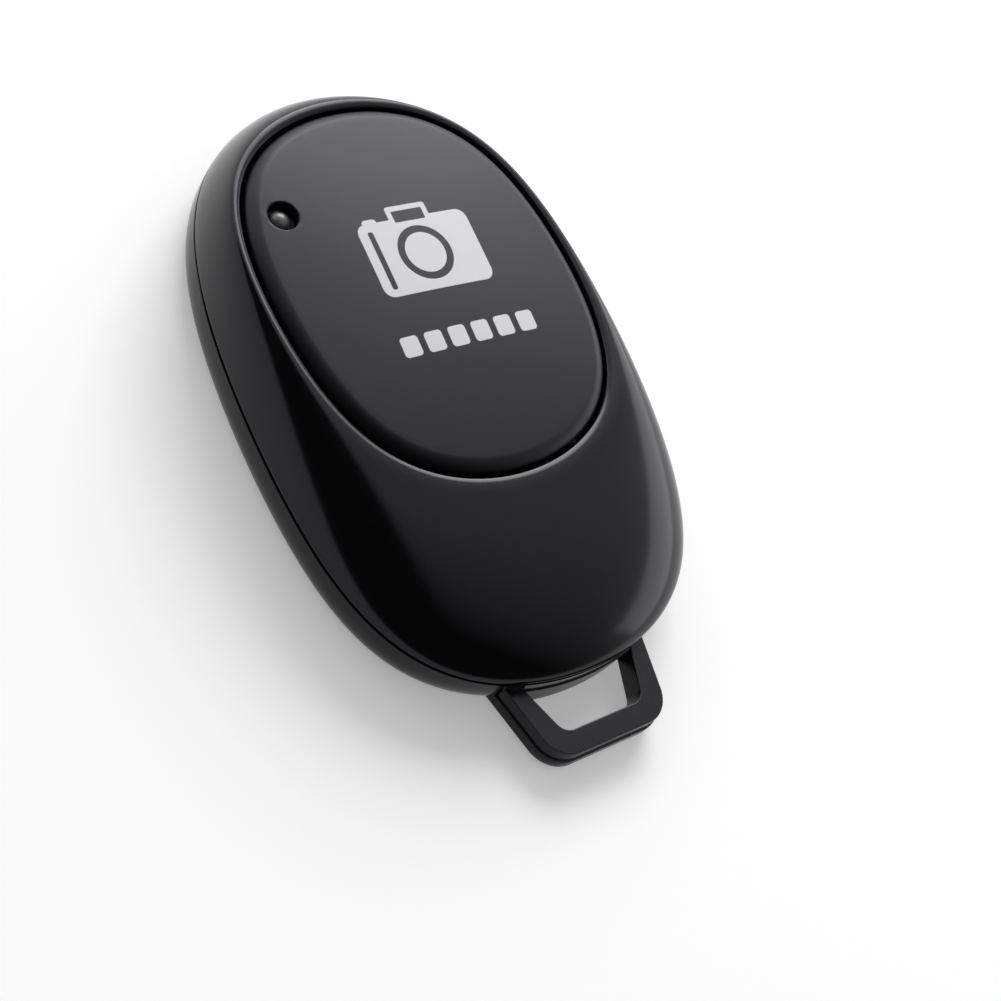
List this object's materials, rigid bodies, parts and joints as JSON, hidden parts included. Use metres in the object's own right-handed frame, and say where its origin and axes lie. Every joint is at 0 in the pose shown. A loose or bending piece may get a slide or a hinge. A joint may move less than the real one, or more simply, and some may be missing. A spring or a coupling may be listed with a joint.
{
  "type": "wireless camera shutter remote",
  "caption": "Egg-shaped black one-key wireless camera shutter remote with a lamp well, a bayonet battery cover and a lanyard loop.",
  "frame": {"origin": "under the middle of the whole part, on the surface that its flat back lies on", "axes": "+X to the right as the key is seen, +Y to the end with the lamp, away from the lanyard loop, +Z out of the key"},
  "size_m": [0.0322, 0.0532, 0.0101],
  "materials": {
    "shell_black": "satin-gloss black ABS",
    "key_grey": "fine satin dark grey ABS, soft edge",
    "rear_black": "satin black ABS",
    "light_guide": "frosted clear polycarbonate",
    "cell_steel": "nickel-plated steel",
    "gasket_grey": "grey polypropylene gasket",
    "contact_brass": "gold-flashed phosphor bronze",
    "board_green": "green solder mask on glass-epoxy board",
    "screw_steel": "zinc-plated steel",
    "part_black": "black moulding compound",
    "tin": "tin-plated steel",
    "plunger_ivory": "ivory nylon",
    "capacitor_tan": "ceramic",
    "inductor_blue": "ceramic",
    "copper": "bare copper trace"
  },
  "bodies": {
    "housing": {"front_shell": "shell_black", "rear_shell": "rear_black", "cell_can": "cell_steel", "cell_gasket": "gasket_grey", "cell_cap": "cell_steel", "negative_contact": "contact_brass", "positive_contact": "contact_brass", "circuit_board": "board_green", "board_screws": "screw_steel", "switch_base": "part_black", "switch_terminals": "tin", "switch_dome": "contact_brass", "switch_cover": "tin", "status_led": "light_guide", "bluetooth_chip": "part_black", "clock_crystal": "tin", "capacitors": "capacitor_tan", "resistors": "part_black", "antenna_inductor": "inductor_blue", "antenna_trace": "copper"},
    "key": {"key_cap": "key_grey", "light_guide": "light_guide"},
    "plunger": {"switch_plunger": "plunger_ivory"},
    "cover": {"battery_cover": "rear_black"}
  },
  "joints": [
    {"name": "key_press", "type": "slide", "parent": "housing", "child": "key", "axis": [0, 0, -1], "range_m": [0, 0.00025], "stiffness_N_per_m": 4000, "springref_m": -0.0002},
    {"name": "plunger_press", "type": "slide", "parent": "housing", "child": "plunger", "axis": [0, 0, -1], "range_m": [0, 0.00025], "deforming": ["switch_dome"]},
    {"name": "cover_twist", "type": "hinge", "parent": "housing", "child": "cover", "pos_m": [0, 0.00308, 0], "axis": [0, 0, -1], "range_deg": [0, 45]}
  ],
  "couplings": [
    {"joint": "plunger_press", "follows": "key_press", "ratio": 1}
  ]
}
